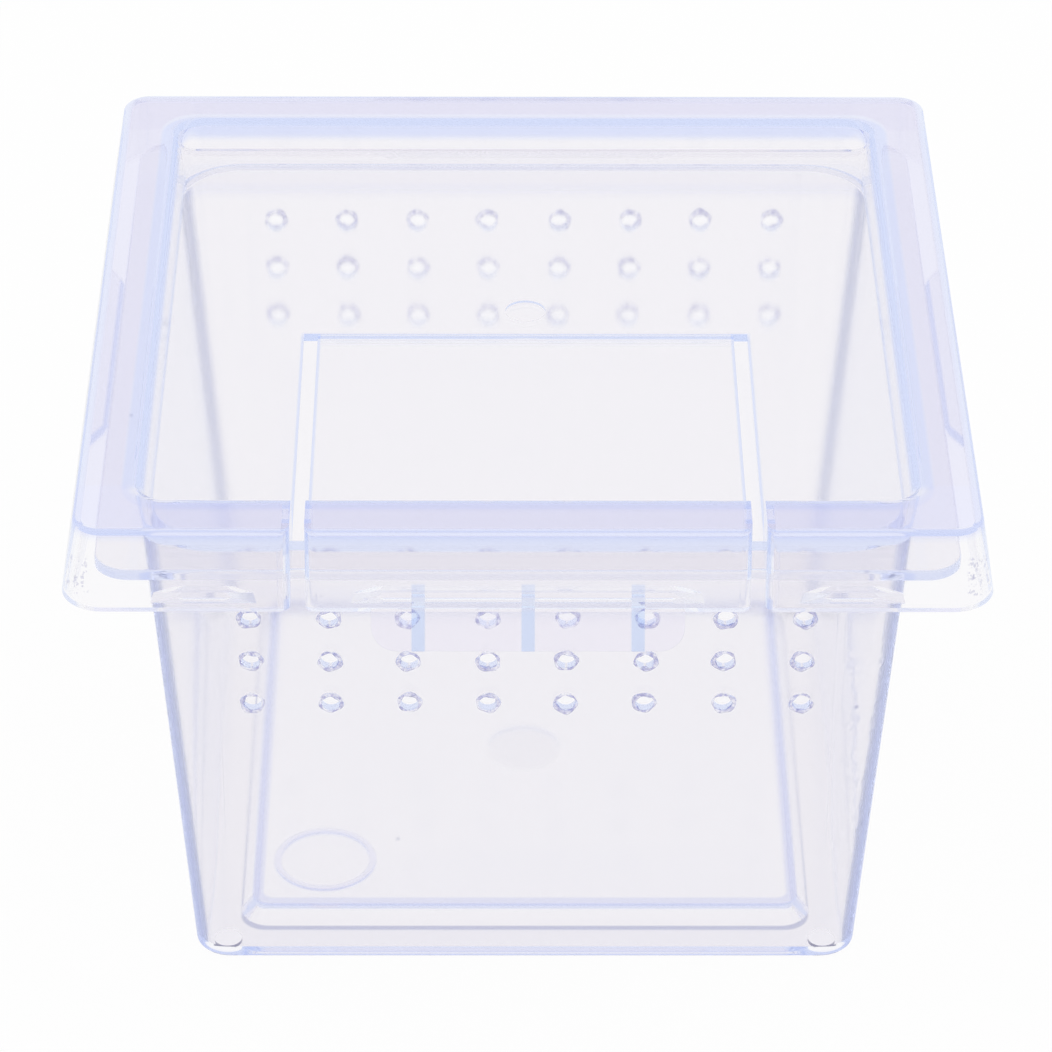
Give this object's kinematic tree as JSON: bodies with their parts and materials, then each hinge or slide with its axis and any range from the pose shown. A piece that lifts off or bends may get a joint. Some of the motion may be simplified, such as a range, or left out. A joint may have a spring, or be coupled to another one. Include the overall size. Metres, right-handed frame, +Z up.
{
  "type": "insect box",
  "caption": "Small clear plastic insect box: a tapered tub with vent holes and a lid that lifts off and has a hinged access flap.",
  "frame": {"origin": "on the surface that the box stands on, under the middle of the whole, pull tab included", "axes": "+Z up; -Y to the front, where the flap's pull tab is; +X to the right seen from the front"},
  "size_m": [0.1134, 0.117, 0.075],
  "materials": {
    "tub_plastic": "clear, glossy, faintly blue",
    "lid_plastic": "clear, glossy, faintly blue"
  },
  "bodies": {
    "tub": {"tub": "tub_plastic"},
    "lid": {"lid": "lid_plastic", "flap_hinge": "lid_plastic"},
    "flap": {"flap": "lid_plastic"}
  },
  "joints": [
    {"name": "lid_lift", "type": "slide", "parent": "tub", "child": "lid", "axis": [0, 0, 1], "range_m": [0, 0.06]},
    {"name": "flap_turn", "type": "hinge", "parent": "lid", "child": "flap", "pos_m": [0, 0.00156, 0.06893], "axis": [-1, 0, 0], "range_deg": [0, 150]}
  ]
}
